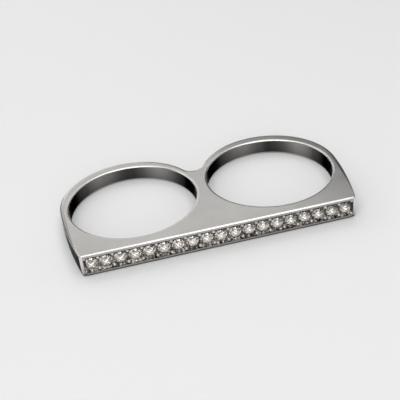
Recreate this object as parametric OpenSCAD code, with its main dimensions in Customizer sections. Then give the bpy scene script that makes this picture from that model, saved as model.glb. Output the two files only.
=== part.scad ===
// Two-finger ring: a cast plate with two finger holes and one row of round
// brilliant-cut stones set along its straight front face. The plate is thinner
// at the back, so its upper face slopes.
// The ring lies on its side: Z runs along the fingers, X along the front bar,
// and the stones look toward -Y. The origin is under the middle of the plate.

/* [Finger holes] */
// Diameter of each finger hole
hole_d = 17.2; // [16.5:0.1:18]
// Width of the metal web between the two finger holes
web_w = 1.8; // [1.4:0.1:2.2]
// Width of the bevel around the rims of the finger holes
rim_bevel = 0.15; // [0.1:0.05:0.3]

/* [Plate] */
// Thickness of the plate at the front face
plate_t = 3.2; // [2.9:0.05:4]
// Thickness of the plate at the backs of the bands
back_t = 2.15; // [1.9:0.05:2.6]
// Metal between a finger hole and the front face
front_wall = 1.75; // [1.55:0.05:2.5]
// Radius of the slow curve of each flank
flank_r = 50; // [40:5:90]
// Radius of the two upright corners of the front bar
corner_r = 0.35; // [0.15:0.05:0.4]

/* [Bands] */
// Radius of each band's outer curve
band_r = 9.45; // [9.3:0.05:9.7]
// How far the band's outer curve is centred outward of its finger hole
band_out = 0.22; // [0.1:0.02:0.3]
// How far the band's outer curve is centred behind its finger hole
band_back = 0.8; // [0.5:0.05:1]
// Radius of the fillet in the valley between the bands
valley_r = 1.5; // [1.2:0.1:2]

/* [Stones] */
// Number of stones in the row
stone_count = 19; // [17:1:19]
// Diameter of a stone at its girdle
stone_d = 1.76; // [1.7:0.01:1.78]
// Gap between neighbouring stones
stone_gap = 0.08; // [0.06:0.01:0.1]
// Width of the table as a share of the stone's diameter
table_share = 0.57; // [0.5:0.01:0.62]
// Slope of the crown's main facets
crown_angle = 34.5; // [30:0.5:36]
// Slope of the pavilion's main facets
pavilion_angle = 40.75; // [38:0.25:42]

/* [Setting] */
// Depth of the channel's floor under the front face
channel_depth = 0.42; // [0.4:0.01:0.46]
// Height of the channel
channel_h = 2.36; // [2.22:0.02:2.4]
// Metal between the channel and the underside
lower_rim = 0.4; // [0.34:0.02:0.44]
// Metal between each end of the channel and the corner of the bar
end_rim = 0.35; // [0.25:0.02:0.49]
// Depth of the girdle under the front face
girdle_depth = 0.34; // [0.3:0.01:0.35]
// Radius of the beads shared by two stones
bead_r = 0.26; // [0.2:0.01:0.27]
// Radius of the beads in the corners of the channel
corner_bead_r = 0.22; // [0.18:0.01:0.22]

/* [Hidden] */
$fn = 96;
small_facets = 32;
arc_step = 4;
overcut = 1;
stone_r = stone_d / 2;
stone_pitch = stone_d + stone_gap;
row_half = stone_pitch * (stone_count - 1) / 2;
stone_z = lower_rim + channel_h / 2;

// Half length of the channel, which clears the outer stones by end_gap
end_gap = 0.06;
channel_half = row_half + stone_r + end_gap;
channel_corner_r = 0.35;
bar_half = channel_half + end_rim;

// Places along X and Y
hole_r = hole_d / 2;
hole_x = (hole_d + web_w) / 2;
plate_depth = front_wall + hole_r + band_back + band_r;
front_y = -plate_depth / 2;
hole_y = front_y + front_wall + hole_r;
band_x = hole_x + band_out;
band_y = hole_y + band_back;

// Angle of the upper face, and its height over the middle of a finger hole
slope = atan((plate_t - back_t) / plate_depth);
hole_top = plate_t - (hole_y - front_y) * tan(slope);

// Facets of a stone: mains around it, and twice as many points on its girdle
mains = 8;
girdle_points = 2 * mains;
half_step = 180 / mains;

// Facet rows of a stone, as radii and heights from the girdle
girdle_t = 0.04;
table_r = stone_r * table_share;
crown_h = (stone_r - table_r) * tan(crown_angle);
star_r = (table_r * cos(half_step) + stone_r) / 2;
star_h = (stone_r - star_r * cos(half_step)) * tan(crown_angle);
lower_half_share = 0.77;
lower_r = stone_r * (1 - lower_half_share);
lower_h = (stone_r - lower_r * cos(half_step)) * tan(pavilion_angle);
pavilion_h = stone_r * tan(pavilion_angle);

// Seats: a cone that follows the pavilion, and a pilot hole under the culet
seat_gap = 0.05;
seat_top_r = stone_r + seat_gap;
seat_top_depth = girdle_depth + girdle_t;
pilot_r = 0.25;
pilot_gap = 0.14;
seat_cone_h = (seat_top_r - pilot_r) * tan(pavilion_angle);
pilot_depth = seat_top_depth + pavilion_h + pilot_gap;

// Beads: depth of their centres, rise of the shared ones above or below the
// stones' centres, and distances of the corner ones from the channel's walls
bead_depth = 0.3;
bead_rise = 0.84;
corner_bead_in = 0.13;
corner_bead_down = 0.2;

function stone_name(i) = str("stone_", i < 9 ? "0" : "", i + 1);
function stone_x(i) = i * stone_pitch - row_half;

// Points of an arc about a centre, from one angle to another
function arc(centre, radius, from, to) =
    let (steps = max(2, ceil(abs(to - from) / arc_step)))
    [for (k = [0:steps])
        let (a = from + (to - from) * k / steps)
        centre + radius * [cos(a), sin(a)]];

// Centre of the flank's curve, which touches the band's curve from inside
// and meets the front face at the bar's sharp corner
band_centre = [band_x, band_y];
to_corner = [bar_half, front_y] - band_centre;
flank_reach = flank_r - band_r;
flank_dot = (2 * band_r - (to_corner * to_corner - band_r * band_r) / flank_reach) / 2;
flank_angle = atan2(to_corner[1], to_corner[0]) + acos(flank_dot / norm(to_corner));
flank_centre = band_centre - flank_reach * [cos(flank_angle), sin(flank_angle)];

// Centre of the corner's rounding, which touches the front face and the flank
corner_y = front_y + corner_r;
corner_x = flank_centre[0]
    + sqrt(pow(flank_r - corner_r, 2) - pow(corner_y - flank_centre[1], 2));
corner_angle = atan2(corner_y - flank_centre[1], corner_x - flank_centre[0]);

// Centre of the valley's fillet, on the middle line between the bands
valley_y = band_y + sqrt(pow(band_r + valley_r, 2) - band_x * band_x);
valley_angle = atan2(valley_y - band_y, -band_x);

// Right half of the outline, from the front corner round to the valley. Each
// arc ends where the next one starts, so that point is left to the next one.
function but_last(points) = [for (k = [0:len(points) - 2]) points[k]];
right_half = concat(
    but_last(arc([corner_x, corner_y], corner_r, -90, corner_angle)),
    but_last(arc(flank_centre, flank_r, corner_angle, flank_angle)),
    but_last(arc(band_centre, band_r, flank_angle, valley_angle)),
    arc([0, valley_y], valley_r, valley_angle - 180, -90));
function mirrored(points) =
    [for (k = [len(points) - 2:-1:0]) [-points[k][0], points[k][1]]];
outline = concat(right_half, mirrored(right_half));

// Space above the sloping upper face, which cuts the extruded outline down
module above_slope() {
    translate([0, front_y, plate_t])
        rotate([-slope, 0, 0])
            translate([-plate_depth, -overcut, 0])
                cube([2 * plate_depth, 2 * plate_depth, plate_t + overcut]);
}

// Hole for one finger: -1 is the left one, 1 the right one
module finger_hole(side) {
    translate([side * hole_x, hole_y, 0]) {
        translate([0, 0, -overcut])
            cylinder(r = hole_r, h = plate_t + 2 * overcut);
        rim_cut();
        translate([0, 0, hole_top])
            rotate([-slope, 0, 0])
                mirror([0, 0, 1])
                    rim_cut();
    }
}

// Bevel around a finger hole's lower rim, a cone that starts a little below
// the underside and ends inside the hole
module rim_cut() {
    past = 0.1;
    translate([0, 0, -past])
        cylinder(r1 = hole_r + rim_bevel + past, r2 = hole_r - past,
            h = rim_bevel + 2 * past);
}

// Turns a shape so that its Z points out of the front face, from depth 0
module on_front(x, z) {
    translate([x, front_y, z])
        rotate([90, 0, 0])
            children();
}

// Recess in the front face, a rectangle with round corners
module channel() {
    x = channel_half - channel_corner_r;
    z = channel_h / 2 - channel_corner_r;
    shape = concat(
        arc([x, z], channel_corner_r, 0, 90),
        arc([-x, z], channel_corner_r, 90, 180),
        arc([-x, -z], channel_corner_r, 180, 270),
        arc([x, -z], channel_corner_r, 270, 360));
    on_front(0, stone_z)
        translate([0, 0, -channel_depth])
            linear_extrude(height = channel_depth + overcut)
                polygon(shape);
}

// Cone and pilot hole that clear one stone's pavilion
module seat(i) {
    on_front(stone_x(i), stone_z) {
        translate([0, 0, -seat_top_depth - seat_cone_h])
            cylinder(r1 = pilot_r, r2 = seat_top_r, h = seat_cone_h);
        translate([0, 0, -pilot_depth])
            cylinder(r = pilot_r, h = pilot_depth, $fn = small_facets);
    }
}

module bead(x, z, radius) {
    on_front(x, z)
        translate([0, 0, -bead_depth])
            sphere(r = radius, $fn = small_facets);
}

// Two rows of beads, one at each gap between stones, and one in each corner
module beads() {
    corner_x = channel_half - corner_bead_in;
    corner_rise = channel_h / 2 - corner_bead_down;
    for (side = [-1, 1]) {
        for (i = [0:stone_count - 2])
            bead(stone_x(i) + stone_pitch / 2, stone_z + side * bead_rise, bead_r);
        for (end = [-1, 1])
            bead(end * corner_x, stone_z + side * corner_rise, corner_bead_r);
    }
}

module frame() {
    color("silver")
        union() {
            difference() {
                linear_extrude(height = plate_t + overcut)
                    polygon(outline);
                above_slope();
                finger_hole(-1);
                finger_hole(1);
                channel();
                for (i = [0:stone_count - 1])
                    seat(i);
            }
            beads();
        }
}

// One ring of points around a stone's axis
function ring(count, radius, z, turn) =
    [for (k = [0:count - 1])
        let (a = turn + 360 * k / count)
        [radius * cos(a), radius * sin(a), z]];

// Facets that run all the way round a stone: the main ones, their halves next
// to the girdle, and the girdle's own. Each number is the first point of a ring.
function star_facets(table, star) =
    [for (k = [0:mains - 1]) [table + k, table + (k + 1) % mains, star + k]];
function bezel_facets(table, star, girdle) =
    [for (k = [0:mains - 1])
        [table + k, star + k, girdle + 2 * k, star + (k + mains - 1) % mains]];
function upper_halves(star, girdle) =
    [for (k = [0:girdle_points - 1])
        let (owner = star + floor(k / 2))
        [owner, girdle + (k + 1) % girdle_points, girdle + k]];
function girdle_facets(top, foot) =
    [for (k = [0:girdle_points - 1])
        let (next = (k + 1) % girdle_points)
        [top + k, top + next, foot + next, foot + k]];
function lower_halves(girdle, pavilion) =
    [for (k = [0:girdle_points - 1])
        let (owner = pavilion + floor(k / 2))
        [owner, girdle + k, girdle + (k + 1) % girdle_points]];
function pavilion_mains(pavilion, girdle, culet) =
    [for (k = [0:mains - 1])
        [culet, pavilion + (k + mains - 1) % mains, girdle + 2 * k, pavilion + k]];

// Round brilliant cut about the Z axis, with its girdle's foot at Z = 0
module brilliant() {
    table = 0;
    star = table + mains;
    girdle_top = star + mains;
    girdle_foot = girdle_top + girdle_points;
    pavilion = girdle_foot + girdle_points;
    culet = pavilion + mains;
    points = concat(
        ring(mains, table_r, girdle_t + crown_h, 0),
        ring(mains, star_r, girdle_t + star_h, half_step),
        ring(girdle_points, stone_r, girdle_t, 0),
        ring(girdle_points, stone_r, 0, 0),
        ring(mains, lower_r, -lower_h, half_step),
        [[0, 0, -pavilion_h]]);
    faces = concat(
        [[for (k = [mains - 1:-1:0]) table + k]],
        star_facets(table, star),
        bezel_facets(table, star, girdle_top),
        upper_halves(star, girdle_top),
        girdle_facets(girdle_top, girdle_foot),
        lower_halves(girdle_foot, pavilion),
        pavilion_mains(pavilion, girdle_foot, culet));
    polyhedron(points = points, faces = faces);
}

// Stone number i of the row, from the left
module stone(i) {
    color("white")
        on_front(stone_x(i), stone_z)
            translate([0, 0, -seat_top_depth])
                brilliant();
}

frame();
for (i = [0:stone_count - 1])
    stone(i);
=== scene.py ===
"""Two-finger ring with a row of brilliant-cut stones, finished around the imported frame."""
import math
import random
from collections import namedtuple

import bmesh
import bpy
from mathutils import Matrix, Quaternion, Vector
from mathutils.geometry import tessellate_polygon


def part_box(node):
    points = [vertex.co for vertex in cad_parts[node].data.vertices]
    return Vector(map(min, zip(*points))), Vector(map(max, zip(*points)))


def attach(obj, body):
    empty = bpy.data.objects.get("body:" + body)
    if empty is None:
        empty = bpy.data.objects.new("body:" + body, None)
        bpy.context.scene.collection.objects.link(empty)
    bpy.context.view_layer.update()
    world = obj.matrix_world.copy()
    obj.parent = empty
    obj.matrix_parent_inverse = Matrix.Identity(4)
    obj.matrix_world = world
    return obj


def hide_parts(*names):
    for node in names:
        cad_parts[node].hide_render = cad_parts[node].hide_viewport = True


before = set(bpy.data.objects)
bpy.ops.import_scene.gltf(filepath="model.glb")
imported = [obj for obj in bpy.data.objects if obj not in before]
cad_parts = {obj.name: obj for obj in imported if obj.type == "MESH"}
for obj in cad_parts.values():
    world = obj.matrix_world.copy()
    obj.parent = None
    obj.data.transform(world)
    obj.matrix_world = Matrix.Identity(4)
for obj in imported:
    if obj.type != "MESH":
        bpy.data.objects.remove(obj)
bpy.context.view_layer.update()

# Shapes are worked out in millimetres, and new_object turns them into metres
MM = 0.001
frame_low, frame_high = (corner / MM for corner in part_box("frame"))
FRONT_Y = frame_low.y
PLATE_T = frame_high.z
BACK_T = 2.15
SLOPE = (PLATE_T - BACK_T) / (frame_high.y - FRONT_Y)

# Finger holes, bands and flanks, as in the construction
HOLE_R = 8.6
HOLE_X = 9.5
FRONT_WALL = 1.75
HOLE_Y = FRONT_Y + FRONT_WALL + HOLE_R
FLANK_R = 50
CORNER_R = 0.35
BAND_R = 9.45
BAND_OUT = 0.22
BAND_BACK = 0.8
BAND_CENTRE = Vector((HOLE_X + BAND_OUT, HOLE_Y + BAND_BACK))
VALLEY_R = 1.5

# Rounding of the edges: small along the front and wide under its two corners. Over the first
# SOFTENING millimetres the upper edge widens and flattens to the bands' rim. HOLD is the flat
# strip that keeps the rounding off the faces.
FRONT_RIM_R = 0.17
BAND_RIM_R = 0.48
BAND_RIM_FLATNESS = 0.35
CORNER_FOOT_R = 0.36
LOWER_RIM_R = 0.3
SOFTENING = 9
FOOT_STEP = 0.12
FOOT_STEPS = 4
HOLE_RIM_R = 0.33
HOLE_RIM_FLATNESS = 0.4
HOLD = 0.015

# Fineness of the mesh: steps across a rounding, degrees and millimetres along the outline
RIM_STEPS = 8
ARC_STEP = 3
LONG_STEP = 0.5
HOLE_POINTS = 180
SHARP_ANGLE = 28

# Stones and their channel, as in the construction
STONE_NODES = sorted(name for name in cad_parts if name.startswith("stone"))
STONE_D = 1.76
STONE_R = STONE_D / 2
STONE_GAP = 0.08
STONE_PITCH = STONE_D + STONE_GAP
ROW_HALF = STONE_PITCH * (len(STONE_NODES) - 1) / 2
BAR_END = 0.41
BAR_HALF = ROW_HALF + STONE_R + BAR_END
CHANNEL_END = 0.06
CHANNEL_HALF = ROW_HALF + STONE_R + CHANNEL_END
CHANNEL_H = 2.36
CHANNEL_DEPTH = 0.42
CHANNEL_CORNER_R = 0.35
CHANNEL_EDGE_R = 0.04
CHANNEL_FOOT = 0.4
STONE_Z = CHANNEL_FOOT + CHANNEL_H / 2

# Materials of the frame, by slot
SATIN, POLISHED, OUTER, INNER, FRONT, CHANNEL, BEAD = range(7)


def top_at(y):
    """Height of the upper face, which slopes down to the back"""
    return PLATE_T - SLOPE * (y - FRONT_Y)


def direction(angle):
    """Unit vector at an angle in degrees"""
    return Vector((math.cos(math.radians(angle)), math.sin(math.radians(angle))))


def angle_of(vector):
    """Angle of a vector in degrees"""
    return math.degrees(math.atan2(vector.y, vector.x))


def outline_stretches():
    """Arcs of the outline's right half: centre, radius, side of the metal, and the two angles"""
    to_corner = Vector((BAR_HALF, FRONT_Y)) - BAND_CENTRE
    reach = FLANK_R - BAND_R
    share = (2 * BAND_R - (to_corner.length_squared - BAND_R ** 2) / reach) / 2
    turn = math.degrees(math.acos(share / to_corner.length))
    flank_angle = angle_of(to_corner) + turn
    flank_centre = BAND_CENTRE - reach * direction(flank_angle)
    corner_y = FRONT_Y + CORNER_R
    run = math.sqrt((FLANK_R - CORNER_R) ** 2 - (corner_y - flank_centre.y) ** 2)
    corner_centre = Vector((flank_centre.x + run, corner_y))
    corner_angle = angle_of(corner_centre - flank_centre)
    rise = math.sqrt((BAND_R + VALLEY_R) ** 2 - BAND_CENTRE.x ** 2)
    valley_centre = Vector((0, BAND_CENTRE.y + rise))
    valley_angle = angle_of(valley_centre - BAND_CENTRE)
    return [
        (corner_centre, CORNER_R, -1, -90, corner_angle),
        (flank_centre, FLANK_R, -1, corner_angle, flank_angle),
        (BAND_CENTRE, BAND_R, -1, flank_angle, valley_angle),
        (valley_centre, VALLEY_R, 1, valley_angle - 180, -90),
    ]


STRETCHES = outline_stretches()
CORNER_CENTRE = STRETCHES[0][0]
VALLEY_BOTTOM = STRETCHES[-1][0].y - VALLEY_R


def smooth_step(value):
    """Eases from 0 to 1 while the value runs from 0 to 1"""
    value = min(max(value, 0), 1)
    return value * value * (3 - 2 * value)


def edge_radii(y):
    """Radii of the outline's lower and upper edge at a place from the front to the bands,
    and the upper one's flatness"""
    share = smooth_step((y - FRONT_Y) / SOFTENING)
    lower = CORNER_FOOT_R + (LOWER_RIM_R - CORNER_FOOT_R) * share
    upper = FRONT_RIM_R + (BAND_RIM_R - FRONT_RIM_R) * share
    return lower, upper, 1 + (BAND_RIM_FLATNESS - 1) * share


def front_places():
    """Places on the front edge near its right corner, whose foot becomes sharper away from it"""
    places = []
    for k in range(1, FOOT_STEPS + 1):
        lower = FRONT_RIM_R + (CORNER_FOOT_R - FRONT_RIM_R) * smooth_step(1 - k / FOOT_STEPS)
        point = Vector((CORNER_CENTRE.x - FOOT_STEP * k, FRONT_Y))
        places.append((point, Vector((0, 1)), lower, FRONT_RIM_R, 1))
    return places


def mirrored(places):
    """The same places on the left half, in the opposite order"""
    return [
        (Vector((-point.x, point.y)), Vector((-inward.x, inward.y)), *radii)
        for point, inward, *radii in reversed(list(places))
    ]


def outline_places():
    """Places round the whole outline, from the right front corner to the left one and back along
    the front: point, direction into the metal, radii of the two edges, flatness of the upper one"""
    right = []
    for centre, radius, side, first, last in STRETCHES:
        turn = last - first
        length = radius * math.radians(abs(turn))
        steps = math.ceil(max(abs(turn) / ARC_STEP, length / LONG_STEP))
        for k in range(steps):
            out = direction(first + turn * k / steps)
            point = centre + radius * out
            right.append((point, side * out, *edge_radii(point.y)))
    middle = (Vector((0, VALLEY_BOTTOM)), Vector((0, -1)), *edge_radii(VALLEY_BOTTOM))
    front = front_places()
    return right + [middle] + mirrored(right) + mirrored(reversed(front)) + front[::-1]


def hole_places(x):
    """Places round the finger hole at x, in the same rows"""
    centre = Vector((x, HOLE_Y))
    outward = [direction(360 * k / HOLE_POINTS) for k in range(HOLE_POINTS)]
    return [
        (centre + HOLE_R * out, out, LOWER_RIM_R, HOLE_RIM_R, HOLE_RIM_FLATNESS)
        for out in outward
    ]


def circle(x, y, radius, count):
    """Points of a circle"""
    return [Vector((x, y)) + radius * direction(360 * k / count) for k in range(count)]


def rounded_box(half_x, half_z, radius, step=9):
    """Points of a rectangle with round corners about the middle of the channel, as x and z.
    The step along the corners is in degrees."""
    points = []
    for k, (side_x, side_z) in enumerate(((1, 1), (-1, 1), (-1, -1), (1, -1))):
        centre = Vector((side_x * (half_x - radius), STONE_Z + side_z * (half_z - radius)))
        for angle in range(90 * k, 90 * k + 91, step):
            points.append(centre + radius * direction(angle))
    return points


def add_ring(bm, points):
    """New vertices at the points"""
    return [bm.verts.new(p) for p in points]


def bridge(bm, first, second, material, closed=True):
    """Quads between two rings with the same number of points"""
    count = len(first)
    for k in range(count if closed else count - 1):
        following = (k + 1) % count
        face = bm.faces.new((first[k], first[following], second[following], second[k]))
        face.material_index = material
        face.smooth = True


def bridge_all(bm, rings, material):
    """Quads from each ring to the next"""
    for first, second in zip(rings, rings[1:]):
        bridge(bm, first, second, material)


def fill(bm, loops, material):
    """Triangles over a flat face with holes: the first loop is its outside"""
    corners = [v for loop in loops for v in loop]
    for triangle in tessellate_polygon([[v.co for v in loop] for loop in loops]):
        face = bm.faces.new([corners[k] for k in triangle])
        face.material_index = material
        face.smooth = True


def rounding(radius, steps=RIM_STEPS, flatness=1):
    """Profile of a rounded edge, as inset and height, from the face to the wall.
    A flatness under 1 makes it shallow."""
    angles = [math.radians(90 * k / steps) for k in range(steps + 1)]
    height = radius * flatness
    arc = [(radius * (1 - math.sin(a)), height * (1 - math.cos(a))) for a in angles]
    return [(radius + HOLD, 0)] + arc + [(0, height + HOLD)]


def wall_rings(bm, places):
    """Rings of a wall with both edges rounded, in a lower and an upper set"""
    lower_profiles = [rounding(low) for point, inward, low, up, flatness in places]
    upper_profiles = [rounding(up, flatness=flatness) for point, inward, low, up, flatness in places]
    lower, upper = [], []
    for k in range(len(lower_profiles[0])):
        low_ring, high_ring = [], []
        for (point, inward, *radii), below, above in zip(places, lower_profiles, upper_profiles):
            inset, rise = below[k]
            foot = point + inset * inward
            low_ring.append((foot.x, foot.y, rise))
            inset, drop = above[k]
            head = point + inset * inward
            high_ring.append((head.x, head.y, top_at(head.y) - drop))
        lower.append(add_ring(bm, low_ring))
        upper.append(add_ring(bm, high_ring))
    return lower, upper


def stone_x(i):
    """Middle of a stone, counted from the left"""
    return i * STONE_PITCH - ROW_HALF


def front_ring(bm, points, depth):
    """Ring of points given as x and z, at a depth under the front face"""
    return add_ring(bm, [(p.x, FRONT_Y + depth, p.y) for p in points])


# Seats of the stones in the channel's floor
PAVILION_ANGLE = 40.75
SEAT_ROOM = 0.05
SEAT_TOP_R = STONE_R + SEAT_ROOM
SEAT_TOP_DEPTH = 0.38
PILOT_R = 0.25
PILOT_DEPTH = 1.28
SEAT_POINTS = 32
CHANNEL_EDGE_STEPS = 4


def add_channel(bm, corners):
    """The front face with its channel and seats. corners are the points of the face's own edge."""
    half_z = CHANNEL_H / 2
    profile = rounding(CHANNEL_EDGE_R, CHANNEL_EDGE_STEPS)
    rings = []
    for out, depth in profile + [(0, CHANNEL_DEPTH)]:
        points = rounded_box(CHANNEL_HALF + out, half_z + out, CHANNEL_CORNER_R + out)
        rings.append(front_ring(bm, points, depth))
    fill(bm, [corners, rings[0]], FRONT)
    bridge_all(bm, rings[:len(profile)], FRONT)
    bridge_all(bm, rings[len(profile) - 1:], CHANNEL)
    slope = math.tan(math.radians(PAVILION_ANGLE))
    floor_r = SEAT_TOP_R - (CHANNEL_DEPTH - SEAT_TOP_DEPTH) / slope
    pilot_top = SEAT_TOP_DEPTH + (SEAT_TOP_R - PILOT_R) * slope
    seats = []
    for i in range(len(STONE_NODES)):
        steps = ((floor_r, CHANNEL_DEPTH), (PILOT_R, pilot_top), (PILOT_R, PILOT_DEPTH))
        rings_down = [
            front_ring(bm, circle(stone_x(i), STONE_Z, radius, SEAT_POINTS), depth)
            for radius, depth in steps
        ]
        bridge_all(bm, rings_down, CHANNEL)
        fill(bm, [rings_down[-1]], CHANNEL)
        seats.append(rings_down[0])
    fill(bm, [rings[-1]] + seats, CHANNEL)


# Grains of metal that hold the stones: where they stand, and how uneven they are
BEAD_R = 0.26
BEAD_RISE = 0.86
BEAD_TOP = 0.03
BEAD_SINK = 0.03
BEAD_FOOT = 0.92
BEAD_NECK = 0.94
BEAD_POINTS = 20
BEAD_STEPS = 6
BEAD_SEED = 5
BEAD_SHIFT = 0.02
BEAD_SIZES = (0.95, 1.03)
CORNER_BEAD_R = 0.2
CORNER_BEAD_IN = 0.14
CORNER_BEAD_DOWN = 0.2


def add_bead(bm, x, z, radius):
    """A grain of metal raised from the channel's floor: a short post with a round head"""
    profile = [(radius * BEAD_FOOT, CHANNEL_DEPTH + BEAD_SINK), (radius * BEAD_NECK, BEAD_TOP + radius)]
    for k in range(1, BEAD_STEPS):
        angle = math.radians(90 * k / BEAD_STEPS)
        profile.append((radius * math.cos(angle), BEAD_TOP + radius * (1 - math.sin(angle))))
    rings = [
        front_ring(bm, circle(x, z, ring_r, BEAD_POINTS), depth)
        for ring_r, depth in profile
    ]
    bridge_all(bm, rings, BEAD)
    fill(bm, [rings[0]], BEAD)
    top = bm.verts.new((x, FRONT_Y + BEAD_TOP, z))
    for k in range(BEAD_POINTS):
        face = bm.faces.new((rings[-1][k], rings[-1][(k + 1) % BEAD_POINTS], top))
        face.material_index = BEAD
        face.smooth = True


def add_beads(bm):
    """Two rows of grains between the stones, a little uneven, and one in each corner"""
    draw = random.Random(BEAD_SEED)
    corner_x = CHANNEL_HALF - CORNER_BEAD_IN
    corner_rise = CHANNEL_H / 2 - CORNER_BEAD_DOWN
    for side in (-1, 1):
        for i in range(len(STONE_NODES) - 1):
            x = stone_x(i) + STONE_PITCH / 2 + draw.uniform(-BEAD_SHIFT, BEAD_SHIFT)
            z = STONE_Z + side * BEAD_RISE + draw.uniform(-BEAD_SHIFT, BEAD_SHIFT)
            add_bead(bm, x, z, BEAD_R * draw.uniform(*BEAD_SIZES))
        for end in (-1, 1):
            add_bead(bm, end * corner_x, STONE_Z + side * corner_rise, CORNER_BEAD_R)


def new_object(bm, name, materials):
    """An object in metres from a mesh in millimetres, with its steeper edges sharp"""
    bmesh.ops.recalc_face_normals(bm, faces=bm.faces)
    bmesh.ops.scale(bm, vec=(MM, MM, MM), verts=bm.verts)
    mesh = bpy.data.meshes.new(name)
    bm.to_mesh(mesh)
    bm.free()
    mesh.set_sharp_from_angle(angle=math.radians(SHARP_ANGLE))
    for material in materials:
        mesh.materials.append(material)
    piece = bpy.data.objects.new(name, mesh)
    bpy.context.scene.collection.objects.link(piece)
    return piece


# Radius round a front corner's centre within which the wall is polished
POLISH_R = CORNER_R * 1.05


def polish_corners(bm):
    """Gives the wall round the two front corners the polish of the rims"""
    for face in bm.faces:
        middle = face.calc_center_median()
        away_from = Vector((abs(middle.x) - CORNER_CENTRE.x, middle.y - CORNER_CENTRE.y))
        on_wall = face.material_index == OUTER and middle.z > CORNER_FOOT_R
        if on_wall and away_from.length < POLISH_R:
            face.material_index = POLISHED


def add_outer_wall(bm):
    """The wall round the outline and the bar's front. Returns the edges of the top and the underside."""
    lower, upper = wall_rings(bm, outline_places())
    bridge_all(bm, lower[:-1], OUTER)
    bridge_all(bm, upper[:-1], POLISHED)
    bridge(bm, lower[-2], lower[-1], OUTER)
    bridge(bm, upper[-2], upper[-1], OUTER)
    low, high = lower[-1], upper[-1]
    front = 2 * FOOT_STEPS
    bridge(bm, low[:-front], high[:-front], OUTER, closed=False)
    polish_corners(bm)
    low_edge = low[-front - 1:] + low[:1]
    high_edge = high[-front - 1:] + high[:1]
    add_channel(bm, low_edge + high_edge[::-1])
    return upper[0], lower[0]


def add_hole(bm, x):
    """The wall of a finger hole. Returns its edges in the top and the underside."""
    lower, upper = wall_rings(bm, hole_places(x))
    bridge_all(bm, lower[:-1], POLISHED)
    bridge_all(bm, upper[:-1], POLISHED)
    bridge_all(bm, [lower[-2], lower[-1], upper[-1], upper[-2]], INNER)
    return upper[0], lower[0]


def build_frame(materials):
    """The casting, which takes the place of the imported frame"""
    bm = bmesh.new()
    edges = [add_outer_wall(bm)] + [add_hole(bm, x) for x in (-HOLE_X, HOLE_X)]
    for loops in zip(*edges):
        fill(bm, loops, SATIN)
    add_beads(bm)
    piece = new_object(bm, "ring_casting", materials)
    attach(piece, "root")
    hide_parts("frame")


# Cut of the stones: lengths, shares of a length, and angles in degrees
GIRDLE_T = 0.04
GIRDLE_POINTS = 96
GIRDLE_DEPTH = 0.34
MAINS = 8
TABLE_SHARE = 0.57
TABLE_R = STONE_R * TABLE_SHARE
CROWN_ANGLE = 34.5
LOWER_HALF_SHARE = 0.77
ON_PLANE = 1e-6


def cut(bm, a, b, c):
    """Cuts off what lies outside the plane through three points, and closes the cut"""
    normal = (b - a).cross(c - a).normalized()
    if normal.dot(a) < 0:
        normal.negate()
    everything = bm.verts[:] + bm.edges[:] + bm.faces[:]
    result = bmesh.ops.bisect_plane(
        bm, geom=everything, dist=ON_PLANE, plane_co=a, plane_no=normal, clear_outer=True)
    edges = [e for e in result["geom_cut"] if isinstance(e, bmesh.types.BMEdge)]
    open_edges = [e for e in edges if e.is_boundary]
    bmesh.ops.contextual_create(bm, geom=open_edges)


def around(radius, angle, z):
    """A point round the stone's axis"""
    point = radius * direction(angle)
    return Vector((point.x, point.y, z))


def brilliant():
    """A round brilliant with 57 facets and a round girdle, whose foot is at height 0"""
    half = 180 / MAINS
    crown = math.tan(math.radians(CROWN_ANGLE))
    pavilion = math.tan(math.radians(PAVILION_ANGLE))
    crown_h = (STONE_R - TABLE_R) * crown
    star_r = (TABLE_R * math.cos(math.radians(half)) + STONE_R) / 2
    star_h = (STONE_R - star_r * math.cos(math.radians(half))) * crown
    lower_r = STONE_R * (1 - LOWER_HALF_SHARE)
    lower_h = (STONE_R - lower_r * math.cos(math.radians(half))) * pavilion
    culet = Vector((0, 0, -STONE_R * pavilion))
    bm = bmesh.new()
    bmesh.ops.create_cone(
        bm, cap_ends=True, segments=GIRDLE_POINTS, radius1=STONE_R, radius2=STONE_R, depth=2 * STONE_R)
    table_z = GIRDLE_T + crown_h
    cut(bm, Vector((0, 0, table_z)), Vector((1, 0, table_z)), Vector((0, 1, table_z)))
    down = Vector((0, 0, GIRDLE_T))
    for k in range(MAINS):
        main = 2 * half * k
        table = around(TABLE_R, main, table_z)
        next_table = around(TABLE_R, main + 2 * half, table_z)
        star = around(star_r, main + half, GIRDLE_T + star_h)
        previous_star = around(star_r, main - half, GIRDLE_T + star_h)
        cut(bm, table, star, previous_star)
        cut(bm, table, next_table, star)
        point = around(lower_r, main + half, -lower_h)
        previous_point = around(lower_r, main - half, -lower_h)
        cut(bm, culet, point, previous_point)
        for start in (main, main + half):
            first = around(STONE_R, start, GIRDLE_T)
            second = around(STONE_R, start + half, GIRDLE_T)
            cut(bm, first, second, star)
            cut(bm, first - down, second - down, point)
    return bm


def build_stones(material):
    """One brilliant in the place of each packed stone, its table towards the front"""
    bm = brilliant()
    stand = Matrix.Rotation(math.radians(90), 4, "X")
    bmesh.ops.transform(bm, matrix=stand, verts=bm.verts)
    for i, node in enumerate(STONE_NODES):
        copy = bm.copy()
        place = Vector((stone_x(i), FRONT_Y + GIRDLE_DEPTH + GIRDLE_T, STONE_Z))
        bmesh.ops.translate(copy, vec=place, verts=copy.verts)
        piece = new_object(copy, "brilliant_" + node[-2:], [material])
        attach(piece, "root")
        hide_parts(node)
    bm.free()


# Middle range of a noise, which is spread over the values that a material wants
NOISE_LOW = 0.3
NOISE_HIGH = 0.7


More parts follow.
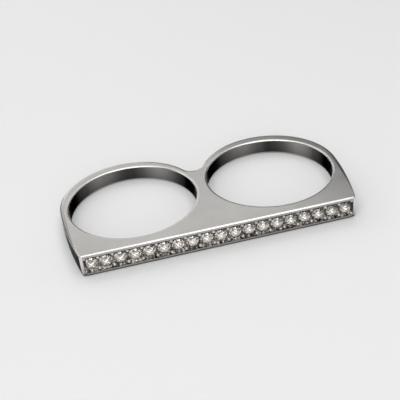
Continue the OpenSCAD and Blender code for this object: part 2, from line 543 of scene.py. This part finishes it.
class Surface:
    """A material and short calls that add nodes to it. Lengths are in millimetres."""

    def __init__(self, name, **values):
        self.material = bpy.data.materials.new(name)
        self.material.use_nodes = True
        self.tree = self.material.node_tree
        self.shader = self.tree.nodes["Principled BSDF"]
        for socket, value in values.items():
            self.shader.inputs[socket.replace("_", " ")].default_value = value

    def node(self, kind, **values):
        """A new node with some of its settings"""
        node = self.tree.nodes.new("ShaderNode" + kind)
        for name, value in values.items():
            setattr(node, name, value)
        return node

    def link(self, source, target):
        """Joins two sockets"""
        self.tree.links.new(source, target)

    def place(self, kind="Object"):
        """The coordinates of a place on the piece, as one vector"""
        return self.node("TexCoord").outputs[kind]

    def axes(self, vector):
        """The outputs X, Y and Z of a vector"""
        split = self.node("SeparateXYZ")
        self.link(vector, split.inputs["Vector"])
        return split.outputs

    def vector(self, **parts):
        """A vector from the parts X, Y and Z, or some of them"""
        combined = self.node("CombineXYZ")
        for axis, source in parts.items():
            self.link(source, combined.inputs[axis])
        return combined.outputs["Vector"]

    def noise(self, size, detail=3, stretch=(1, 1, 1)):
        """Noise with features of about one size, drawn out along the axes by stretch"""
        mapping = self.node("Mapping")
        mapping.inputs["Scale"].default_value = [1 / (size * MM * s) for s in stretch]
        noise = self.node("TexNoise")
        noise.inputs["Scale"].default_value = 1
        noise.inputs["Detail"].default_value = detail
        self.link(self.place(), mapping.inputs["Vector"])
        self.link(mapping.outputs["Vector"], noise.inputs["Vector"])
        return noise.outputs["Fac"]

    def cloud(self, low, high, **noise):
        """Noise that wanders between low and high"""
        spread = self.node("MapRange")
        spread.inputs["From Min"].default_value = NOISE_LOW
        spread.inputs["From Max"].default_value = NOISE_HIGH
        spread.inputs["To Min"].default_value = low
        spread.inputs["To Max"].default_value = high
        self.link(self.noise(**noise), spread.inputs["Value"])
        return spread.outputs["Result"]

    def cells(self, vector, scale):
        """Random cells: the red, green and blue of each, and the distance from its middle"""
        cells = self.node("TexVoronoi")
        cells.inputs["Scale"].default_value = scale
        self.link(vector, cells.inputs["Vector"])
        tint = self.node("SeparateColor")
        self.link(cells.outputs["Color"], tint.inputs["Color"])
        return tint.outputs, cells.outputs["Distance"]

    def climb(self, start, end, foot, top, axis="Z"):
        """A value that goes from foot to top between two places on an axis"""
        climb = self.node("MapRange")
        climb.inputs["From Min"].default_value = start * MM
        climb.inputs["From Max"].default_value = end * MM
        climb.inputs["To Min"].default_value = foot
        climb.inputs["To Max"].default_value = top
        self.link(self.axes(self.place())[axis], climb.inputs["Value"])
        return climb.outputs["Result"]

    def calc(self, operation, *values):
        """A Math node on sockets and numbers"""
        node = self.node("Math", operation=operation)
        for socket, value in zip(node.inputs, values):
            if isinstance(value, (int, float)):
                socket.default_value = value
            else:
                self.link(value, socket)
        return node.outputs["Value"]

    def clamp(self, value, most=1):
        """Keeps a value between 0 and most"""
        return self.calc("MINIMUM", self.calc("MAXIMUM", value, 0), most)

    def colour(self, source, low, high):
        """Base colour from low, where the source is 0, to high, where it is 1"""
        mix = self.node("Mix", data_type="RGBA")
        mix.inputs["A"].default_value = (*low, 1)
        mix.inputs["B"].default_value = (*high, 1)
        self.link(source, mix.inputs["Factor"])
        self.link(mix.outputs["Result"], self.shader.inputs["Base Color"])

    def roughness(self, low, high, **noise):
        """Roughness that wanders between low and high"""
        self.link(self.cloud(low, high, **noise), self.shader.inputs["Roughness"])

    def bump(self, source, height):
        """Bump of a height for a source that goes from 0 to 1"""
        bump = self.node("Bump")
        bump.inputs["Distance"].default_value = height * MM
        self.link(source, bump.inputs["Height"])
        self.link(bump.outputs["Normal"], self.shader.inputs["Normal"])


# Directions in which the grain of the metal is drawn out: along the bar, or up the walls
ALONG = (6, 1, 1)
UPRIGHT = (1, 1, 10)

# Tint of the walls at a glancing angle, and their darkest painted shade
WALL_EDGE = (0.25, 0.25, 0.25, 1)
WALL_SHADE = (0.012, 0.012, 0.012)


def satin_metal():
    """The flat faces"""
    surface = Surface("satin_metal", Metallic=1)
    surface.colour(surface.cloud(0, 1, size=6), (0.63, 0.615, 0.595), (0.72, 0.705, 0.69))
    surface.roughness(0.19, 0.24, size=2.5, detail=4)
    surface.bump(surface.noise(size=0.05, detail=2, stretch=ALONG), height=0.0006)
    return surface.material


# Places on the x axis between which the rims begin to count as a flank's, where painted shade darkens
# them
FLANK_START = 18.1
FLANK_END = 18.5


def polished_metal():
    """The rims: painted light makes them brighter towards the top, and painted shade makes them darker
    along the two flanks
    """
    surface = Surface("polished_metal", Metallic=1)
    calc = surface.calc
    # Painted shade along the front part of the rims of both flanks
    sides = [surface.climb(s * FLANK_START, s * FLANK_END, foot=0, top=1, axis="X") for s in (-1, 1)]
    to_front = surface.climb(start=4, end=-2, foot=0, top=0.8, axis="Y")
    flank = calc("MULTIPLY", calc("ADD", *sides), to_front)
    # Painted light: brighter towards the top, darker at the foot
    upwards = surface.climb(start=0.5, end=2, foot=0.1, top=0.92)
    shade = calc("ADD", surface.cloud(-0.08, 0.08, size=3), upwards)
    surface.colour(calc("SUBTRACT", shade, flank), (0.4, 0.392, 0.38), (0.82, 0.805, 0.785))
    surface.roughness(0.14, 0.22, size=0.8, detail=4)
    surface.bump(surface.noise(size=0.2), height=0.0008)
    return surface.material


# Painted shade of the outer wall: how much it gains per millimetre towards the back, how many of those
# a millimetre of height counts for, and its value in the middle of the ring at the foot
SHADE_GAIN = 0.13
SHADE_SLANT = 2.4
SHADE_MIDDLE = 0.36


def outer_metal():
    """The outer wall, with painted shade: dark along the front of the flanks and lighter upwards and to
    the back
    """
    surface = Surface("outer_metal", Metallic=1, Specular_Tint=WALL_EDGE)
    calc = surface.calc
    place = surface.axes(surface.place())
    # Painted shade: darker at the front of the flanks and at their foot
    slant = calc("MULTIPLY_ADD", place["Z"], SHADE_SLANT, place["Y"])
    shade = calc("MULTIPLY_ADD", slant, SHADE_GAIN / MM, SHADE_MIDDLE)
    shade = calc("ADD", shade, surface.cloud(-0.06, 0.06, size=1.5, stretch=(1, 1, 4)))
    surface.colour(calc("POWER", surface.clamp(shade), 2), WALL_SHADE, (0.5, 0.49, 0.475))
    surface.roughness(0.26, 0.34, size=0.8, detail=4)
    surface.bump(surface.noise(size=0.06, detail=2, stretch=UPRIGHT), height=0.0006)
    return surface.material


def light_band(surface, angle, middle, width):
    """A soft bump in a value round a circle, with its middle and width in degrees, used for a painted
    band of light
    """
    calc = surface.calc
    off = calc("MULTIPLY_ADD", angle, 1 / math.radians(width), -middle / width)
    return calc("EXPONENT", calc("MULTIPLY", calc("MULTIPLY", off, off), -1))


# Turn of the painted bands of light in the two holes, towards the outside, in degrees
BAND_TURN = 6


def inner_metal():
    """The walls of the finger holes, with painted soft upright bands of reflected light, as of a
    polished bore, and painted shade towards the foot
    """
    surface = Surface("inner_metal", Metallic=1, Specular_Tint=WALL_EDGE)
    calc = surface.calc
    place = surface.axes(surface.place())
    side = calc("SIGN", place["X"])
    x = calc("MULTIPLY_ADD", side, -HOLE_X * MM, place["X"])
    y = calc("ABSOLUTE", calc("SUBTRACT", place["Y"], HOLE_Y * MM))
    angle = calc("MULTIPLY_ADD", side, math.radians(BAND_TURN), calc("ARCTAN2", y, x))
    # Painted reflections: bands of light round each bore
    fainter = calc("MULTIPLY", light_band(surface, angle, middle=106, width=18), 0.75)
    bands = calc("ADD", light_band(surface, angle, middle=48.5, width=16), fainter)
    bands = calc("ADD", bands, surface.cloud(0, 0.12, size=1.6, detail=2, stretch=(1, 1, 40)))
    # Painted shade, darker towards the foot of the wall
    shade = calc("MULTIPLY", bands, surface.climb(start=0.2, end=2.4, foot=0.6, top=1))
    surface.colour(shade, WALL_SHADE, (0.3, 0.29, 0.28))
    surface.roughness(0.2, 0.28, size=0.8, stretch=(1, 1, 8))
    surface.bump(surface.noise(size=0.06, detail=2, stretch=UPRIGHT), height=0.0004)
    return surface.material


def front_metal():
    """The narrow frame round the channel, with painted light that makes it lighter towards the top and
    painted shade at its foot
    """
    surface = Surface("front_metal", Metallic=1)
    # Painted shade at the foot, lightening towards the top
    upwards = surface.climb(start=0.2, end=2.8, foot=0, top=0.8)
    shade = surface.calc("ADD", surface.cloud(0, 0.2, size=1.5), upwards)
    surface.colour(shade, (0.26, 0.252, 0.24), (0.48, 0.465, 0.445))
    surface.roughness(0.28, 0.36, size=0.8, detail=4)
    surface.bump(surface.noise(size=0.06, detail=2, stretch=ALONG), height=0.0006)
    return surface.material


def bead_metal():
    """The grains, a little hammered"""
    surface = Surface("bead_metal", Metallic=1)
    surface.colour(surface.cloud(0, 1, size=0.3, detail=2), (0.5, 0.47, 0.435), (0.78, 0.74, 0.69))
    surface.roughness(0.26, 0.36, size=0.2)
    surface.bump(surface.noise(size=0.12, detail=2), height=0.006)
    return surface.material


# Painted flecks of light and shade to a millimetre in the channel's metal, and how much the dark, shaded
# ones prevail
FLECKS_PER_MM = 5
FLECK_CONTRAST = 1.8


def channel_metal():
    """The inside of the channel: a painted mottle of bright glints and dark shade, with painted shade
    dimming it towards the top
    """
    surface = Surface("channel_metal", Metallic=1)
    # Painted glints and shade in cells over the recess
    tint, distance = surface.cells(surface.place(), FLECKS_PER_MM / MM)
    painted_flecks = surface.calc("POWER", tint["Red"], FLECK_CONTRAST)
    # Painted shade, dimmer towards the top of the channel
    fading = surface.climb(start=0.5, end=1.6, foot=1, top=0.3)
    painted_flecks = surface.calc("MULTIPLY", painted_flecks, fading)
    surface.colour(painted_flecks, (0.045, 0.04, 0.036), (0.94, 0.905, 0.865))
    surface.roughness(0.2, 0.35, size=0.2, detail=4)
    surface.bump(distance, height=0.03)
    return surface.material


# The painted star of light in a stone, in shares of the stone's radius and in radians: every other ray
# is longer, and the star stands a little off the middle and is turned by up to STAR_TURN
STAR_SIDE = -0.05
STAR_UP = -0.04
STAR_TURN = 0.2
TURN_STEP = 0.37
STAR_CORE = 0.12
RAY_LENGTH = 0.42
RAY_CHANGE = 0.16
STAR_EDGE = 3
STAR_SHINE = 0.9
STAR_LIFT = 0.45

# The mosaic of painted flashes round the star: its cells to a radius, coarse and fine, their share in
# the brightness, its small change from stone to stone, and how far its cells flash and tilt
COARSE_CELLS = 2.4
COARSE_SHARE = 0.24
FINE_CELLS = 5.5
FINE_SHARE = 0.95
FINE_CONTRAST = 2
MOSAIC_START = 2.83
MOSAIC_STEP = 0.008
FLASH_FROM = 0.3
FLASH_GAIN = 6
FLASH_MOST = 0.85
TILT = 0.4
TILT_DOWN = 0.15


def star_of_light(surface, r, angle):
    """1 inside a soft star with a ray for each main facet, and 0 outside it: the mask of the painted
    star of light
    """
    calc = surface.calc
    rays = calc("MULTIPLY_ADD", calc("COSINE", calc("MULTIPLY", angle, MAINS)), 0.5, 0.5)
    turns = calc("COSINE", calc("MULTIPLY", angle, MAINS / 2))
    length = calc("MULTIPLY_ADD", turns, -RAY_CHANGE, RAY_LENGTH)
    reach = calc("MULTIPLY_ADD", rays, length, STAR_CORE)
    inside = calc("MULTIPLY", calc("SUBTRACT", reach, r), STAR_EDGE)
    return surface.clamp(calc("ADD", inside, 0.5))


def folded(surface, r, angle, number):
    """A place in the mosaic, the same in each of the stone's 16 sectors or its mirror image"""
    calc = surface.calc
    fold = calc("PINGPONG", calc("ADD", angle, math.pi), math.pi / MAINS)
    return surface.vector(
        X=calc("MULTIPLY", r, calc("COSINE", fold)),
        Y=calc("MULTIPLY", r, calc("SINE", fold)),
        Z=calc("MULTIPLY_ADD", number, MOSAIC_STEP, MOSAIC_START),
    )


def tilted_normal(surface, tint, star):
    """The surface's normal, tilted from cell to cell and upwards in the star"""
    calc = surface.calc
    sideways = calc("MULTIPLY_ADD", tint["Green"], TILT, -TILT / 2)
    upwards = calc("MULTIPLY_ADD", tint["Blue"], TILT, -TILT_DOWN)
    upwards = calc("ADD", upwards, calc("MULTIPLY", star, STAR_LIFT))
    turned = surface.node("VectorMath", operation="ADD")
    surface.link(surface.node("NewGeometry").outputs["Normal"], turned.inputs[0])
    surface.link(surface.vector(X=sideways, Z=upwards), turned.inputs[1])
    unit = surface.node("VectorMath", operation="NORMALIZE")
    surface.link(turned.outputs["Vector"], unit.inputs[0])
    return unit.outputs["Vector"]


def stone_material():
    """Clear glass with the flashes of the back facets painted into its colour and shine: a star of light
    and a mosaic round it, partly painted light and partly real reflections of the lamps on tilted
    normals
    """
    surface = Surface("brilliant_stone", Roughness=0.03, IOR=2.42, Transmission_Weight=1)
    calc = surface.calc
    shares = surface.axes(surface.place("Generated"))
    x = calc("MULTIPLY_ADD", shares["X"], 2, -1 - STAR_SIDE)
    z = calc("MULTIPLY_ADD", shares["Z"], 2, -1 - STAR_UP)
    r = calc("SQRT", calc("ADD", calc("MULTIPLY", x, x), calc("MULTIPLY", z, z)))
    place_x = surface.axes(surface.place())["X"]
    number = calc("FLOOR", calc("MULTIPLY_ADD", place_x, 1 / (STONE_PITCH * MM), 0.5))
    share = calc("FRACT", calc("MULTIPLY", number, TURN_STEP))
    turn = calc("MULTIPLY_ADD", share, 2 * STAR_TURN, -STAR_TURN)
    angle = calc("ADD", calc("ARCTAN2", z, x), turn)
    star = star_of_light(surface, r, angle)
    spot = folded(surface, r, angle, number)
    coarse = surface.cells(spot, COARSE_CELLS)[0]
    fine = surface.cells(spot, FINE_CELLS)[0]
    patches = calc("MULTIPLY", coarse["Red"], COARSE_SHARE)
    glints = calc("MULTIPLY", calc("POWER", fine["Red"], FINE_CONTRAST), FINE_SHARE)
    # Painted light and shade: a bright star and flashes over dark glass
    bright = calc("MAXIMUM", star, calc("ADD", patches, glints))
    surface.colour(bright, (0.045, 0.037, 0.031), (1.0, 0.95, 0.89))
    flash = calc("MULTIPLY", calc("SUBTRACT", fine["Green"], FLASH_FROM), FLASH_GAIN)
    mirror = calc("MAXIMUM", calc("MULTIPLY", star, STAR_SHINE), surface.clamp(flash, FLASH_MOST))
    surface.link(mirror, surface.shader.inputs["Metallic"])
    surface.link(tilted_normal(surface, fine, star), surface.shader.inputs["Normal"])
    return surface.material


# Floor, in millimetres
FLOOR_HALF = 600
FLOOR_DROP = 0.01


def build_floor():
    """A plain pale floor just under the ring"""
    pale = (0.88, 0.88, 0.88, 1)
    surface = Surface("pale_floor", Base_Color=pale, Roughness=0.6, Emission_Strength=0.05)
    bm = bmesh.new()
    bmesh.ops.create_grid(bm, x_segments=1, y_segments=1, size=FLOOR_HALF)
    bmesh.ops.translate(bm, vec=(0, 0, -FLOOR_DROP), verts=bm.verts)
    floor = new_object(bm, "floor", [surface.material])


# Camera, fitted to the photograph in millimetres and degrees
CAMERA_AZIMUTH = -10.148
CAMERA_ELEVATION = 35.555
CAMERA_ROLL = -6.097
CAMERA_DISTANCE = 112.039
CAMERA_LENS = 73.525
CAMERA_TARGET = Vector((-0.355, 0.472, 0))
CAMERA_NEAR = 5
CAMERA_FAR = 5000


def away(azimuth, elevation):
    """Unit vector from the object, from angles in degrees: azimuth 0 is in front and 90 on the right"""
    a, e = math.radians(azimuth), math.radians(elevation)
    return Vector((math.sin(a) * math.cos(e), -math.cos(a) * math.cos(e), math.sin(e)))


def build_camera():
    """The camera at the photograph's angle"""
    camera = bpy.data.objects.new("camera", bpy.data.cameras.new("camera"))
    bpy.context.scene.collection.objects.link(camera)
    bpy.context.scene.camera = camera
    back = away(CAMERA_AZIMUTH, CAMERA_ELEVATION)
    right = (-back).cross(Vector((0, 0, 1))).normalized()
    up = right.cross(-back)
    roll = math.radians(CAMERA_ROLL)
    rolled_right = math.cos(roll) * right + math.sin(roll) * up
    rolled_up = math.cos(roll) * up - math.sin(roll) * right
    turn = Matrix((rolled_right, rolled_up, back)).transposed()
    place = (CAMERA_TARGET + CAMERA_DISTANCE * back) * MM
    camera.matrix_world = Matrix.Translation(place) @ turn.to_4x4()
    camera.data.lens = CAMERA_LENS
    camera.data.clip_start = CAMERA_NEAR * MM
    camera.data.clip_end = CAMERA_FAR * MM


# Rectangular lights that face the ring: where they stand and their roll in degrees,
# distance, width and height in metres, and power in watts
WHITE = (1, 1, 1)
WARM_WHITE = (1, 0.985, 0.965)
SoftBox = namedtuple("SoftBox", "name azimuth elevation distance width height power colour roll")
SOFT_BOXES = (
    SoftBox("front_wide", -20, 19, 0.5, 0.84, 0.35, 0.9, WHITE, 0),
    SoftBox("front_right", 14, 15, 0.45, 0.17, 0.16, 0.13, WHITE, 0),
    SoftBox("front_high", -15, 58, 0.45, 0.5, 0.12, 0.55, WHITE, 0),
    SoftBox("back_box", 180, 44, 0.5, 0.6, 0.38, 0.47, WARM_WHITE, -38),
    SoftBox("back_high", 167, 62, 0.48, 0.36, 0.14, 0.17, WHITE, 0),
    SoftBox("side_right", 102, 22, 0.55, 0.5, 0.36, 0.24, WHITE, 0),
    SoftBox("side_left", -98, 20, 0.55, 0.44, 0.34, 0.2, WHITE, 0),
    SoftBox("front_side", 54, 20, 0.55, 0.4, 0.32, 0.1, WHITE, 0),
    SoftBox("back_dim", 152, 17, 0.55, 0.36, 0.3, 0.02, WHITE, 0),
    SoftBox("back_low", 184, 9, 0.55, 0.22, 0.14, 0.08, WHITE, 0),
    SoftBox("left_high", -126, 34, 0.5, 0.36, 0.3, 0.25, WHITE, 0),
    SoftBox("top_box", 0, 88, 0.6, 0.6, 0.6, 1.25, WHITE, 0),
)
ROOM_COLOUR = (0.07, 0.072, 0.075, 1)


def add_soft_box(box):
    """One rectangular light from its row"""
    light = bpy.data.lights.new(box.name, "AREA")
    light.shape = "RECTANGLE"
    light.size = box.width
    light.size_y = box.height
    light.energy = box.power
    light.color = box.colour
    lamp = bpy.data.objects.new(box.name, light)
    outward = away(box.azimuth, box.elevation)
    lamp.location = box.distance * outward
    roll = Quaternion((0, 0, 1), math.radians(box.roll))
    lamp.rotation_euler = (outward.to_track_quat("Z", "Y") @ roll).to_euler()
    bpy.context.scene.collection.objects.link(lamp)


def build_lights():
    """The soft boxes and a dim room round them"""
    for box in SOFT_BOXES:
        add_soft_box(box)
    world = bpy.data.worlds.new("studio")
    world.use_nodes = True
    world.node_tree.nodes["Background"].inputs["Color"].default_value = ROOM_COLOUR
    bpy.context.scene.world = world
    bpy.context.scene.view_settings.view_transform = "Standard"


build_camera()
build_frame([
    satin_metal(), polished_metal(), outer_metal(), inner_metal(),
    front_metal(), channel_metal(), bead_metal(),
])
build_stones(stone_material())
build_floor()
build_lights()
